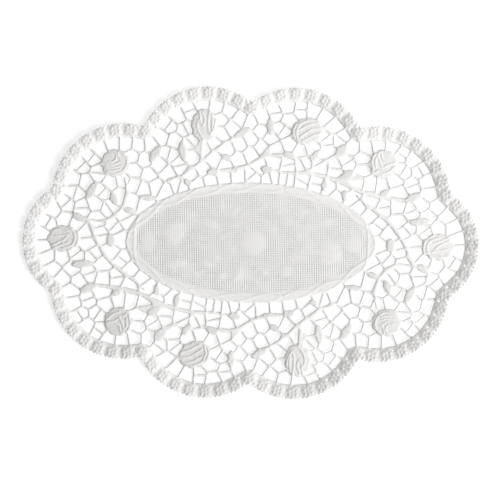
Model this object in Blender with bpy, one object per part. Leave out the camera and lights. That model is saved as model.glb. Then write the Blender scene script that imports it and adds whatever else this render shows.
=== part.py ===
"""Oval doily with a rose lace pattern: one die-cut and embossed sheet of paper, 305 mm long.

The pattern is drawn in millimetres on the plane, as complex numbers around the middle of the oval,
and becomes metres when the mesh is made. Only one half of the net, the roses, the leaves and the
stems is drawn: the other half is the same one after half a turn, which is a point's negative.
"""

import cmath
import math
from collections import namedtuple

import bmesh
import bpy
import numpy as np
from mathutils import Vector
from mathutils.geometry import delaunay_2d_cdt

MM = 0.001
TURN = 2 * math.pi
SAME_PLACE = 0.0001  # how near two crossings may be before a triangulation takes them as one

# The sheet
SHEET = 1.0  # thickness where nothing is embossed
WELD = 0.001  # points nearer than this are one point
PAPER_COLOUR = (0.86, 0.85, 0.83, 1.0)
PAPER_ROUGHNESS = 0.75

# The outline: ten lobes that meet in notches, each an arc that bulges out from its chord
END_NOTCH = complex(132.9, 35.1)
CORNER_NOTCH = complex(72.6, 77.1)
TOP_NOTCH = complex(0.0, 93.9)
END_BULGE = 19.6
CORNER_BULGE = 17.0
TOP_BULGE = 17.7

# The braid of florets along the outline, each ending in a few picots at the cut edge. One floret
# sits in each notch, the others are evenly spaced between the notches.
BRAID_WIDTH = 9.2
FLORETS_A_LOBE = 7
FIRST_FLORET = 0.105  # its middle, as a share of the lobe
FLORET_STEP = (1 - 2 * FIRST_FLORET) / (FLORETS_A_LOBE - 1)
FLORET_INSET = 4.1
NOTCH_FLORET_INSET = 3.4
FLORET_PETALS = 5
FLORET_PETAL_RING = 2.4
PICOTS_A_FLORET = 4
PICOT_DEPTH = 0.8

# The oval in the middle, in a border of pointed lenses
OVAL_LENGTH = 168.0
OVAL_WIDTH = 80.8
OVAL_EDGE_POINTS = 90
BORDER_WIDTH = 6.6
BORDER_CREST_INSET = 3.0
BORDER_LENSES = 18
BORDER_FOOT_POINTS = 30

# The net: cells with bars between them
BAR = 1.6
CELLS = 296
CELL_PITCH = 9.0
RIM_CELL_INSET = 4.1
RIM_CELL_PITCH = 8.7
RIM_EDGE_PITCH = 3.0
ROW_OFFSET = 4.2  # from a motif's edge to the middle of a cell beside it
SEED_GAP = 6.2
SAMPLE_PITCH = 1.2
RELAX_ROUNDS = 6
MOST_HOLES = 300
LEAST_HOLE = 9.0  # square millimetres
HOLE_TOLERANCE = 0.8

# Heights of the embossing above the sheet
PETAL_HEIGHT = 0.5
EYE_HEIGHT = 0.15
ROSE_HEIGHT = 0.7
ROSE_HOLLOW = 0.35
LEAF_HEIGHT = 0.5
STEM_HEIGHT = 0.3
LENS_HEIGHT = 0.5
CROSSING_HEIGHT = 0.2

# The motifs of one half. Places are from the middle of the oval; turns are in degrees from +X.
Rose = namedtuple("Rose", "x y width height turn")
ROSES = [
    Rose(-125.2, 1.2, 21.5, 17.5, 0),
    Rose(-91.2, 52.1, 18.2, 18.6, 0),
    Rose(-32.1, 78.0, 16.0, 23.0, 0),
    Rose(36.5, 75.1, 22.5, 17.5, 18),
    Rose(87.7, 53.6, 18.6, 19.6, 0),
]

Leaf = namedtuple("Leaf", "x y length width turn")
LEAVES = [
    Leaf(-106.8, 33.6, 14.0, 6.4, 60),
    Leaf(-115.4, 15.8, 9.0, 5.2, 150),
    Leaf(-91.7, 28.3, 9.5, 5.4, 115),
    Leaf(-81.6, 20.7, 8.0, 4.4, 165),
    Leaf(-93.5, 0.5, 9.5, 6.4, 95),
    Leaf(-64.6, 58.8, 13.0, 6.6, 57),
    Leaf(-46.3, 60.7, 14.0, 6.0, 100),
    Leaf(-69.2, 29.3, 12.0, 4.2, 176),
    Leaf(-42.7, 39.6, 6.5, 4.2, 150),
    Leaf(-26.1, 47.1, 8.5, 5.0, 175),
    Leaf(-6.7, 73.5, 13.0, 5.6, 30),
    Leaf(12.1, 78.1, 12.5, 5.4, 92),
    Leaf(-16.5, 56.7, 8.0, 4.4, 155),
    Leaf(-10.9, 48.4, 5.5, 3.6, 0),
    Leaf(25.1, 58.9, 9.0, 5.2, 165),
    Leaf(10.2, 49.3, 9.5, 5.4, 170),
    Leaf(42.1, 58.5, 10.0, 5.2, 55),
    Leaf(59.8, 62.1, 11.5, 7.4, 50),
    Leaf(63.9, 46.6, 10.5, 5.4, 25),
    Leaf(49.0, 39.2, 9.0, 4.8, 85),
    Leaf(62.4, 32.2, 8.0, 4.4, 95),
    Leaf(89.1, 34.6, 7.5, 4.4, 20),
    Leaf(108.1, 31.5, 13.0, 6.2, 25),
    Leaf(112.8, 15.5, 15.0, 5.6, 5),
]

Stem = namedtuple("Stem", "width route")
STEMS = [
    Stem(3.0, [(-57, 41), (-47, 43.5), (-38.9, 49.7), (-30, 56.5), (-24, 62.5), (-12, 70)]),
    Stem(2.2, [(-35.5, 52), (-33.5, 59), (-32.5, 68)]),
    Stem(2.6, [(-22, 48), (-8, 50.3), (0.7, 53), (7.5, 57.5), (21, 59.6)]),
    Stem(2.0, [(5, 56), (10.6, 64), (26, 71.5)]),
    Stem(3.2, [(22, 46.6), (38.3, 47), (50.6, 44.4), (63.4, 40), (75.7, 34), (92, 30.5), (103, 30)]),
    Stem(1.9, [(36, 48.5), (46, 53.5), (55.5, 60)]),
    Stem(2.0, [(59, 45), (68, 42.5), (79.5, 46)]),
    Stem(2.4, [(70, 33), (79.5, 24.5), (91, 16.5), (99, 6.5), (106, -7), (109, -16)]),
    Stem(2.4, [(-84.8, 43), (-83.3, 31), (-87.5, 20.5), (-98.5, 13), (-112, 15)]),
]

# How the motifs are drawn
ROSE_EDGE_POINTS = 18
ROSE_PETALS = 6
ROSE_WAVE = 0.045  # of the rose's radius
RoseRing = namedtuple("RoseRing", "reach points height")
ROSE_RINGS = [
    RoseRing(0.66, 8, ROSE_HEIGHT),
    RoseRing(0.32, 5, ROSE_HOLLOW),
    RoseRing(0.0, 1, ROSE_HEIGHT),
]
LeafSide = namedtuple("LeafSide", "along fullness")  # shares of the length and of the half width
LEAF_SIDE = [LeafSide(0.14, 0.62), LeafSide(0.42, 1.0), LeafSide(0.74, 0.66)]
LONG_LEAF = 9.0
LONG_LEAF_MIDRIB = (-0.28, 0.0, 0.26)  # shares of the length, from the middle of the leaf
SHORT_LEAF_MIDRIB = (-0.22, 0.18)
LONG_LEAF_CELLS = (-0.3, 0.3)
SHORT_LEAF_CELLS = (0.0,)
STEM_TIP_SHARE = 0.55  # of a stem's width, at its ends
STEM_EDGE_PITCH = 4.5
STEM_CREST_PITCH = 7.0


def turned(degrees):
    """The unit step at an angle, anticlockwise from +X."""
    return cmath.rect(1, math.radians(degrees))


# ---- the outline ----------------------------------------------------------------------------

Lobe = namedtuple("Lobe", "centre radius first sweep")


def lobe_between(start, end, bulge):
    """The arc that runs anticlockwise from start to end and bulges out from its chord."""
    half = abs(end - start) / 2
    radius = (half ** 2 + bulge ** 2) / (2 * bulge)
    outward = (end - start) / abs(end - start) * -1j
    centre = (start + end) / 2 + outward * (bulge - radius)
    return Lobe(centre, radius, cmath.phase(start - centre), 2 * math.asin(half / radius))


def on_lobe(lobe, share, inset=0.0):
    """The point a share of the way along a lobe, inset from its arc."""
    return lobe.centre + cmath.rect(lobe.radius - inset, lobe.first + share * lobe.sweep)


def ring_of_lobes():
    """The ten lobes, anticlockwise from the right-hand end."""
    half = [END_NOTCH.conjugate(), END_NOTCH, CORNER_NOTCH, TOP_NOTCH, -CORNER_NOTCH.conjugate()]
    notches = half + [-notch for notch in half]
    bulges = [END_BULGE, CORNER_BULGE, TOP_BULGE, TOP_BULGE, CORNER_BULGE] * 2
    return [lobe_between(a, b, bulge) for a, b, bulge in zip(notches, notches[1:] + notches[:1], bulges)]


def beaded_outline(lobes):
    """The cut edge: a valley and a peak for each picot, with the deepest valleys between florets."""
    steps_a_floret = 2 * PICOTS_A_FLORET
    edge = []
    for lobe in lobes:
        edge.append(on_lobe(lobe, 0))
        for step in range(FLORETS_A_LOBE * steps_a_floret + 1):
            valley = step % 2 == 0
            between_florets = step % steps_a_floret == 0
            inset = PICOT_DEPTH * (valley + between_florets) / 2
            share = FIRST_FLORET + FLORET_STEP * (step / steps_a_floret - 0.5)
            edge.append(on_lobe(lobe, share, inset))
    return edge


def inner_rim(lobes, inset, pitch):
    """A line along the outline at a constant inset, rounding the notches."""
    line = []
    for lobe, following in zip(lobes, lobes[1:] + lobes[:1]):
        count = round((lobe.radius - inset) * lobe.sweep / pitch)
        line += [on_lobe(lobe, step / count, inset) for step in range(count + 1)]
        notch = on_lobe(lobe, 1)
        leave = on_lobe(lobe, 1, inset) - notch
        turn = cmath.phase((on_lobe(following, 0, inset) - notch) / leave)
        count = max(1, round(inset * abs(turn) / pitch))
        line += [notch + leave * cmath.rect(1, turn * step / count) for step in range(1, count)]
    return line


def ellipse(across, along, count, first=0.0):
    """Points round an ellipse of two half axes, from a first step on."""
    angles = [TURN * (step + first) / count for step in range(count)]
    return [complex(across * math.cos(angle), along * math.sin(angle)) for angle in angles]


def oval(inset, count):
    """Points round the oval, inset from its edge."""
    return ellipse(OVAL_LENGTH / 2 - inset, OVAL_WIDTH / 2 - inset, count)


def evenly_spaced(ring, count):
    """Points spread evenly along a closed line, from its first point on."""
    line = np.array(ring + ring[:1])
    reached = np.concatenate([[0], np.cumsum(np.abs(np.diff(line)))])
    wanted = np.arange(count) * reached[-1] / count
    return list(np.interp(wanted, reached, line.real) + 1j * np.interp(wanted, reached, line.imag))


# ---- the motifs -----------------------------------------------------------------------------


def placed(motif, points):
    """Points drawn round a motif's own middle, turned and moved to its place."""
    return [complex(motif.x, motif.y) + point * turned(motif.turn) for point in points]


def rose_edge(rose):
    """A round flower with shallow dips between its outer petals."""
    ring = ellipse(rose.width / 2, rose.height / 2, ROSE_EDGE_POINTS)
    angles = [TURN * ROSE_PETALS * step / ROSE_EDGE_POINTS for step in range(ROSE_EDGE_POINTS)]
    wavy = [point * (1 + ROSE_WAVE * math.cos(angle)) for point, angle in zip(ring, angles)]
    return placed(rose, wavy)


def leaf_edge(leaf):
    """A pointed leaf, fullest a little nearer to its stalk."""
    base, tip = complex(-leaf.length / 2), complex(leaf.length / 2)
    half = -leaf.width / 2
    lower = [complex((along - 0.5) * leaf.length, fullness * half) for along, fullness in LEAF_SIDE]
    upper = [point.conjugate() for point in reversed(lower)]
    return placed(leaf, [base] + lower + [tip] + upper)


def stem_line(stem, pitch):
    """A smooth curve through a stem's route, with a point at about every pitch."""
    route = [complex(*place) for place in stem.route]
    route = [2 * route[0] - route[1]] + route + [2 * route[-1] - route[-2]]
    line = []
    for before, start, end, after in zip(route, route[1:], route[2:], route[3:]):
        count = max(1, round(abs(end - start) / pitch))
        for t in [step / count for step in range(count)]:
            bend = 2 * before - 5 * start + 4 * end - after
            twist = 3 * start - before - 3 * end + after
            line.append(start + (end - before) * t / 2 + bend * t ** 2 / 2 + twist * t ** 3 / 2)
    return line + [route[-2]]


def stem_edge(stem):
    """A ribbon along the stem's curve, slimmer towards both of its ends."""
    line = stem_line(stem, STEM_EDGE_PITCH)
    right, left = [], []
    for step, point in enumerate(line):
        ahead = line[min(step + 1, len(line) - 1)] - line[max(step - 1, 0)]
        fullness = math.sin(math.pi * step / (len(line) - 1))
        half = stem.width / 2 * (STEM_TIP_SHARE + (1 - STEM_TIP_SHARE) * fullness)
        side = ahead / abs(ahead) * 1j * half
        right.append(point - side)
        left.append(point + side)
    return right + left[::-1]


def both_halves(points):
    """A half's points and their twins after half a turn."""
    return list(points) + [-point for point in points]


def motif_edges():
    """The outlines of all roses, leaves and stems."""
    half = [rose_edge(rose) for rose in ROSES]
    half += [leaf_edge(leaf) for leaf in LEAVES]
    half += [stem_edge(stem) for stem in STEMS]
    return half + [[-point for point in edge] for edge in half]


# ---- the net --------------------------------------------------------------------------------


def inside(points, edge):
    """Which of an array of points lie inside a closed outline."""
    result = np.zeros(len(points), bool)
    for start, end in zip(edge, edge[1:] + edge[:1]):
        if start.imag == end.imag:
            continue
        spans = (points.imag < start.imag) != (points.imag < end.imag)
        cross = start.real + (points.imag - start.imag) * (end - start).real / (end - start).imag
        result ^= spans & (points.real < cross)
    return result


def open_ground(rim, motifs):
    """Evenly spread samples of the ground that the net covers."""
    reach = abs(END_NOTCH) + END_BULGE
    across = np.arange(-reach, reach, SAMPLE_PITCH)
    grid = (across[None, :] + 1j * across[:, None]).ravel()
    free = inside(grid, rim) & ~inside(grid, oval(0, OVAL_EDGE_POINTS))
    for edge in motifs:
        free[free] = ~inside(grid[free], edge)
    return grid[free]


def guide_rows(lobes):
    """Places for cells in rows: inside the braid, round the roses, beside leaves and stems, on the oval."""
    row = inner_rim(lobes, BRAID_WIDTH + RIM_CELL_INSET, RIM_CELL_PITCH)
    places = row[: len(row) // 2]
    for rose in ROSES:
        across, along = rose.width / 2 + ROW_OFFSET, rose.height / 2 + ROW_OFFSET
        count = round(math.pi * (across + along) / CELL_PITCH)
        places += placed(rose, ellipse(across, along, count, first=0.5))
    for leaf in LEAVES:
        side = leaf.width / 2 + ROW_OFFSET
        shares = LONG_LEAF_CELLS if leaf.length > LONG_LEAF else SHORT_LEAF_CELLS
        left = [complex(share * leaf.length, side) for share in shares]
        places += placed(leaf, left + [point.conjugate() for point in left])
    for stem in STEMS:
        line = stem_line(stem, CELL_PITCH)
        for start, end in zip(line, line[1:]):
            side = (end - start) / abs(end - start) * 1j * (stem.width / 2 + ROW_OFFSET)
            places += [(start + end) / 2 + side, (start + end) / 2 - side]
    row = oval(-ROW_OFFSET, round(TURN * (OVAL_LENGTH + OVAL_WIDTH) / 4 / CELL_PITCH))
    return places + row[: len(row) // 2]


def net_seeds(lobes, ground):
    """The middles of the net's cells, spread evenly over the ground from the rows that guide them.

    A place in a row counts if it is on open ground and clear of those before it. The widest gaps take
    the rest. Then each seed moves to the middle of the ground that is nearest to it, round after round.
    """
    seeds = []
    for place in guide_rows(lobes):
        on_ground = abs(ground - place).min() < SAMPLE_PITCH
        if on_ground and all(abs(other - place) > SEED_GAP for other in both_halves(seeds)):
            seeds.append(place)
    clearance = np.abs(ground[:, None] - np.array(both_halves(seeds))[None, :]).min(axis=1)
    while len(seeds) < CELLS // 2:
        widest = ground[clearance.argmax()]
        seeds.append(widest)
        clearance = np.minimum(clearance, np.minimum(abs(ground - widest), abs(ground + widest)))
    seeds = np.array(seeds)
    for _ in range(RELAX_ROUNDS):
        owner = np.abs(ground[:, None] - np.array(both_halves(seeds))[None, :]).argmin(axis=1)
        for number in range(len(seeds)):
            own = ground[owner == number]
            twin = ground[owner == number + len(seeds)]
            seeds[number] = np.concatenate([own, -twin]).mean()
    return both_halves(np.round(seeds, 2))


def cell_round(seed, seeds):
    """The outline of the ground nearer to a seed than to the others, less half a bar."""
    reach = 3 * CELL_PITCH
    cell = [seed + reach * turned(angle) for angle in (45, 135, 225, 315)]
    for other in seeds:
        gap = abs(other - seed)
        if 0 < gap < 2 * reach:
            cell = cut_back(cell, seed, (other - seed) / gap, gap / 2 - BAR / 2)
    return cell


def cut_back(cell, seed, away, limit):
    """The part of a convex outline that reaches no further than limit from seed, along away."""
    kept = []
    for start, end in zip(cell, cell[1:] + cell[:1]):
        over_start = ((start - seed) * away.conjugate()).real - limit
        over_end = ((end - seed) * away.conjugate()).real - limit
        if over_start <= 0:
            kept.append(start)
        if over_start * over_end < 0:
            kept.append(start + (end - start) * over_start / (over_start - over_end))
    return kept


def triangulated(outlines, loose=()):
    """A constrained triangulation of outlines, which may overlap, and of loose points.

    Gives its points, its triangles, the numbers of the outlines round each triangle, and for each
    point the number of the loose one that it is, or None.
    """
    points, faces = [], []
    for outline in outlines:
        faces.append(list(range(len(points), len(points) + len(outline))))
        points += outline
    first_loose = len(points)
    vectors = [Vector((point.real, point.imag)) for point in points + list(loose)]
    places, _, triangles, sources, _, owners = delaunay_2d_cdt(vectors, [], faces, 1, SAME_PLACE, True)
    loose_numbers = [max(source, default=-1) - first_loose for source in sources]
    loose_numbers = [number if number >= 0 else None for number in loose_numbers]
    return [complex(*place) for place in places], triangles, owners, loose_numbers


def hole_outlines(rim, motifs, cells):
    """What is left of each cell inside the rim, outside the oval and between the motifs."""
    solid = [oval(0, OVAL_EDGE_POINTS)] + motifs
    points, triangles, owners, _ = triangulated([rim] + solid + cells)
    edges = set()
    for triangle, around in zip(triangles, owners):
        in_cell = 0 in around and max(around) > len(solid)
        if in_cell and not any(0 < owner <= len(solid) for owner in around):
            edges.update(zip(triangle, triangle[1:] + triangle[:1]))
    rims = [(start, end) for start, end in sorted(edges) if (end, start) not in edges]
    return [[points[index] for index in loop] for loop in joined_in_loops(rims)]


def joined_in_loops(edges):
    """Directed edges joined end to end, as lists of point numbers."""
    following = {}
    for start, end in edges:
        following.setdefault(start, []).append(end)
    loops = []
    while following:
        loop = []
        here = next(iter(following))
        while here in following:
            loop.append(here)
            after = following[here].pop()
            if not following[here]:
                del following[here]
            here = after
        loops.append(loop)
    return loops


def area(loop):
    """The area inside a closed outline, in square millimetres."""
    return sum((a.conjugate() * b).imag for a, b in zip(loop, loop[1:] + loop[:1])) / 2


def simplified(loop):
    """An outline without the points that stand out from it by less than the tolerance."""
    loop = list(loop)
    while len(loop) > 3:
        stands_out = []
        for before, point, after in zip(loop[-1:] + loop[:-1], loop, loop[1:] + loop[:1]):
            chord = after - before
            stands_out.append(abs(((point - before) * chord.conjugate()).imag) / abs(chord))
        least = stands_out.index(min(stands_out))
        if stands_out[least] > HOLE_TOLERANCE:
            break
        del loop[least]
    return loop


def net_holes(lobes):
    """The outlines of the net's holes, or of the largest of them."""
    rim = inner_rim(lobes, BRAID_WIDTH, RIM_EDGE_PITCH)
    motifs = motif_edges()
    seeds = net_seeds(lobes, open_ground(rim, motifs))
    cells = [cell_round(seed, seeds) for seed in seeds]
    holes = [simplified(loop) for loop in hole_outlines(rim, motifs, cells)]
    holes = [hole for hole in holes if area(hole) > LEAST_HOLE]
    return sorted(holes, key=area, reverse=True)[:MOST_HOLES]


# ---- the embossing --------------------------------------------------------------------------


def raised(points, height):
    """Points with their height above the sheet."""
    return [(point, height) for point in points]


def floret_places(lobes):
    """The middle of each floret, and the unit step outwards there."""
    places = []
    for lobe, following in zip(lobes, lobes[1:] + lobes[:1]):
        for number in range(FLORETS_A_LOBE):
            middle = on_lobe(lobe, FIRST_FLORET + number * FLORET_STEP, FLORET_INSET)
            places.append((middle, (middle - lobe.centre) / abs(middle - lobe.centre)))
        notch = on_lobe(lobe, 1)
        outward = (notch - lobe.centre) / lobe.radius + (notch - following.centre) / following.radius
        outward /= abs(outward)
        places.append((notch - NOTCH_FLORET_INSET * outward, outward))
    return places


def floret_points(lobes):
    """Each floret's low eye and the ring of its petals."""
    points = []
    for middle, outward in floret_places(lobes):
        petals = ellipse(FLORET_PETAL_RING, FLORET_PETAL_RING, FLORET_PETALS)
        points += raised([middle], EYE_HEIGHT)
        points += raised([middle + petal * outward for petal in petals], PETAL_HEIGHT)
    return points


def rose_points(rose):
    """A high ring of petals, a hollow inside it and a high heart."""
    points = []
    for ring in ROSE_RINGS:
        across, along = ring.reach * rose.width / 2, ring.reach * rose.height / 2
        points += raised(placed(rose, ellipse(across, along, ring.points)), ring.height)
    return points


def leaf_points(leaf):
    """The leaf's raised midrib."""
    shares = LONG_LEAF_MIDRIB if leaf.length > LONG_LEAF else SHORT_LEAF_MIDRIB
    return raised(placed(leaf, [complex(share * leaf.length) for share in shares]), LEAF_HEIGHT)


def stem_points(stem):
    """The stem's raised middle line."""
    return raised(stem_line(stem, STEM_CREST_PITCH)[1:-1], STEM_HEIGHT)


def border_points():
    """The crest of the oval's border, high on each lens and low where two lenses meet, and its foot."""
    crest = evenly_spaced(oval(BORDER_CREST_INSET, OVAL_EDGE_POINTS), 2 * BORDER_LENSES)
    lenses = raised(crest[::2], LENS_HEIGHT) + raised(crest[1::2], CROSSING_HEIGHT)
    return lenses + raised(oval(BORDER_WIDTH, BORDER_FOOT_POINTS), 0.0)


def embossing(lobes):
    """Every raised point of the top face, with its height above the sheet."""
    half = [point for rose in ROSES for point in rose_points(rose)]
    half += [point for leaf in LEAVES for point in leaf_points(leaf)]
    half += [point for stem in STEMS for point in stem_points(stem)]
    twins = [(-point, height) for point, height in half]
    return floret_points(lobes) + half + twins + border_points()


# ---- the solid ------------------------------------------------------------------------------


def sheet_face(mesh, outline, holes, level, upwards, relief=()):
    """Adds one face of the sheet at a level, with its raised points, and gives its cut edges."""
    loose = [point for point, _ in relief]
    points, triangles, owners, loose_numbers = triangulated([outline] + holes, loose)
    verts = {}
    faces = []
    for triangle, around in zip(triangles, owners):
        if list(around) != [0]:
            continue
        for index in triangle:
            if index not in verts:
                number = loose_numbers[index]
                lift = 0.0 if number is None else relief[number][1]
                verts[index] = mesh.verts.new((points[index].real, points[index].imag, level + lift))
        corners = [verts[index] for index in triangle]
        faces.append(mesh.faces.new(corners if upwards else corners[::-1]))
    return [edge for face in faces for edge in face.edges if edge.is_boundary]


def doily_mesh():
    """The closed solid of the sheet: a flat underside, cut edges and an embossed top."""
    lobes = ring_of_lobes()
    outline = beaded_outline(lobes)
    holes = net_holes(lobes)
    mesh = bmesh.new()
    cut_edges = sheet_face(mesh, outline, holes, 0.0, upwards=False)
    sheet_face(mesh, outline, holes, SHEET, upwards=True, relief=embossing(lobes))
    walls = bmesh.ops.extrude_edge_only(mesh, edges=cut_edges)
    wall_tops = [item for item in walls["geom"] if isinstance(item, bmesh.types.BMVert)]
    bmesh.ops.translate(mesh, verts=wall_tops, vec=(0, 0, SHEET))
    bmesh.ops.remove_doubles(mesh, verts=mesh.verts, dist=WELD)
    bmesh.ops.triangulate(mesh, faces=mesh.faces)
    bmesh.ops.recalc_face_normals(mesh, faces=mesh.faces)
    bmesh.ops.scale(mesh, verts=mesh.verts, vec=(MM, MM, MM))
    return mesh


def paper():
    """Uncoated white paper, a little warm."""
    material = bpy.data.materials.new("paper")
    material.use_nodes = True
    shader = material.node_tree.nodes["Principled BSDF"]
    shader.inputs["Base Color"].default_value = PAPER_COLOUR
    shader.inputs["Roughness"].default_value = PAPER_ROUGHNESS
    shader.inputs["Metallic"].default_value = 0.0
    return material


def make_doily():
    """The doily, lying flat with its underside at the origin's level."""
    data = bpy.data.meshes.new("doily")
    mesh = doily_mesh()
    mesh.to_mesh(data)
    mesh.free()
    data.materials.append(paper())
    doily = bpy.data.objects.new("doily", data)
    bpy.context.scene.collection.objects.link(doily)
    return doily


def clear_scene():
    """Removes what the scene holds already."""
    for old in list(bpy.data.objects):
        bpy.data.objects.remove(old, do_unlink=True)


clear_scene()
make_doily()
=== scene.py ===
"""Oval doily with a rose lace pattern, as a sheet of white paper that is die-cut and embossed.

The net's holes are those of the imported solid, with a finer bar across each of the largest, clipped
round the roses and leaves. The sheet between them is meshed anew, fine enough to carry its relief:
rounded bars, florets, roses, leaves, stems and the plaited border of the oval. The pattern is drawn in
millimetres on the plane, as complex numbers around the middle of the oval. Only one half of the roses,
leaves and stems is listed: a point's negative is its twin after half a turn.
"""

import cmath
import math
from collections import namedtuple

import bmesh
import bpy
import numpy as np
from mathutils import Matrix, Vector, kdtree
from mathutils.geometry import delaunay_2d_cdt


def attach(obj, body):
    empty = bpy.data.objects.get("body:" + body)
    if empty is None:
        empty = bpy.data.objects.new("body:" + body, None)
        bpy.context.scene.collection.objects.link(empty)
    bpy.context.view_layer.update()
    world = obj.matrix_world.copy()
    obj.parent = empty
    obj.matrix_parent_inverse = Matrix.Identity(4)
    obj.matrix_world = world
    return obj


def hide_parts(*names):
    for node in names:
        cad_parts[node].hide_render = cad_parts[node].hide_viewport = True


MM = 0.001
TURN = 2 * math.pi

# The outline: ten lobes that meet in notches, each an arc that bulges out from its chord
END_NOTCH = complex(132.9, 35.1)
CORNER_NOTCH = complex(72.6, 77.1)
TOP_NOTCH = complex(0.0, 93.9)
END_BULGE = 19.6
CORNER_BULGE = 17.0
TOP_BULGE = 17.7

# The braid along the outline: a floret in each notch, the others evenly spaced between the notches
FLORETS_A_LOBE = 7
FIRST_FLORET = 0.105  # its middle, as a share of the lobe
FLORET_STEP = (1 - 2 * FIRST_FLORET) / (FLORETS_A_LOBE - 1)
FLORET_INSET = 4.1
NOTCH_FLORET_INSET = 3.4
PETAL_RING = 2.45
PETAL_SIZE = 2.5
PETAL_HEIGHT = 0.5
PICOTS_A_FLORET = 4
POINTS_A_PICOT = 4
PICOT_DEPTH = 1.8
PICOT_SHARPNESS = 1.5  # the higher, the narrower the valleys between picots
FLORET_SHARPNESS = 4  # and those between florets
FLORET_CORE = 3.0  # up to here from its middle, it counts in full as embossed paper
FLORET_REACH = 4.6  # and not at all from here on
FLORET_FIELD = 3 * PETAL_RING  # it shapes the sheet up to here
STRAND_INSET = 7.6  # the plain strand between the florets and the net starts here
STRAND_BLEND = 0.8
PINHOLE_INSET = 6.5
PINHOLE_RADIUS = 0.6
PINHOLE_POINTS = 6

# The oval in the middle
OVAL_LENGTH = 168.0
OVAL_WIDTH = 80.8
BORDER_WIDTH = 6.6
BORDER_LENSES = 18
CORD_SWING = 2.5
CORD_RADIUS = 0.5
CORD_HEIGHT = 0.32
LENS_HEIGHT = 0.12
LEAST_SWING = 0.1  # keeps the lenses' ends from dividing by nothing
FLAT_SHARE = 0.8  # a print is pressed flat up to this share of its reach
FLAT_FADE = 0.3  # and fades into the linen over this share more

# The sheet, and its heights above the level of the cut edges
THICKNESS = 0.16
BAR_HEIGHT = 0.28
HALF_BAR = 0.8
BRAID_LEVEL = 0.25
CURL_HEIGHT = 1.6
CURL_REACH = 12.0
CURLED_SIDE = -28  # the side where the edge curls up more, in degrees from +X
EXTRA_CURL = 0.6  # how much more it does, as a share
CURLED_FROM = 90.0  # and where it does so in full, from the middle of the oval
CUSHION_HEIGHT = 0.6
HALF_CUSHION = 5.15  # neighbouring cushions meet
CUSHION_FLATNESS = 3  # the higher, the flatter its top
CUSHION_SLOPE = 3  # how wide its slope is on the inner side of the braid
ROSE_DOME = 0.25
ROSE_SCALLOPS = 9
SCALLOP_DEPTH = 0.14
ROSE_FIELD = 1.2  # folds shape the sheet up to this share of the rose's reach
FOLD_HEIGHT = 0.5
FOLD_REACH = 0.5
MOTIF_FADE = 1.8
OVAL_FADE = 2  # the net's relief fades out over this width inside the oval's edge
EMBOSSED_FROM = 0.15  # a rose or leaf this high counts in full as embossed paper
LEAF_HEIGHT = 0.32
LEAF_SHARPNESS = 1.2  # the higher, the more pointed the leaves' cut outlines
LEAF_FULLNESS = 0.6  # the lower, the fuller their relief towards the tips
LEAF_FLATNESS = 1.3  # the higher, the flatter their tops
LEAF_MARGIN = 0.3  # their relief is wider than their outline by this on each side
MIDRIB_DEPTH = 0.12
MIDRIB_REACH = 0.5
STEM_HEIGHT = 0.35
STEM_MARGIN = 0.4  # a stem's relief is wider than the stem by this on each side
CREASE_HEIGHT = 0.12

# The holes
WELD_GAP = 1e-6  # in metres
FACING_DOWN = -0.5  # the z of a face's normal, up to which it belongs to the underside
SPLIT_AREA = 66.3  # a hole from this size on gets a finer bar
SMALLEST_HOLE = 4.0
JOIN_GAP = 1e-4  # points nearer than this are one
TINY = 1e-6  # keeps the middle of the oval from dividing by nothing

# How finely the sheet is meshed
ROSE_EDGE_POINTS = 54
LEAF_EDGE_POINTS = 16
OVAL_POINTS = 720
CUT_PITCH = 1.3
CREST_PITCH = 0.6 * CUT_PITCH
CORD_PITCH = 0.9
FOLD_PITCH = 0.65
MIDRIB_PITCH = 0.84
MIDRIB_SPAN = -0.42, 0.43  # from a leaf's middle, as shares of its length
STEM_PITCH = 1.0
FINE_PITCH = 0.84
BORDER_PITCH = 1.2
FIELD_PITCH = 1.6
GRID_REACH_X = 155.0
GRID_REACH_Y = 107.0
LATTICE_PITCH = PETAL_RING / 4  # has a point on each petal and in each dip between two
LATTICE_STEPS = 13
LATTICE_REACH = 4.4  # from a floret's middle, outwards and inwards

# How far the points that it is meshed from keep clear of others
CREST_CLEARANCE = 0.8 * HALF_BAR  # bars' middles, from the other cut edges
ROW_CLEARANCE = 0.5  # other rows, from the cut edges
ROW_GAP = 0.42  # points of rows, from each other
GRID_CLEARANCE = 0.3  # grid points, from the middles of the bars
GRID_ROOM = 0.62  # grid points, from rows, as a share of their pitch
BORDER_SPILL = 0.5  # the border's grid goes on this far past it
FIELD_MARGIN = 1.0  # and the field's grid starts this far past it

# How finely the lines are followed that the relief is measured from
HOLE_TRACE = 0.75
EDGE_TRACE = 0.4
CORD_TRACE = 0.4
FOLD_TRACE = 0.3
STEM_TRACE = 0.7

# The beads round a floret, picots on its outer side and two on its inner side.
# Places and sizes are in millimetres, x outwards and y along the braid.
Bead = namedtuple("Bead", "x y size height")
FLORET_BEADS = [
    Bead(3.3, 3.9, 1.7, 0.25),
    Bead(3.5, 1.3, 1.7, 0.25),
    Bead(3.5, -1.3, 1.7, 0.25),
    Bead(3.3, -3.9, 1.7, 0.25),
    Bead(-3.9, 1.7, 2.0, 0.4),
    Bead(-3.9, -1.7, 2.0, 0.4),
]

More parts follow.
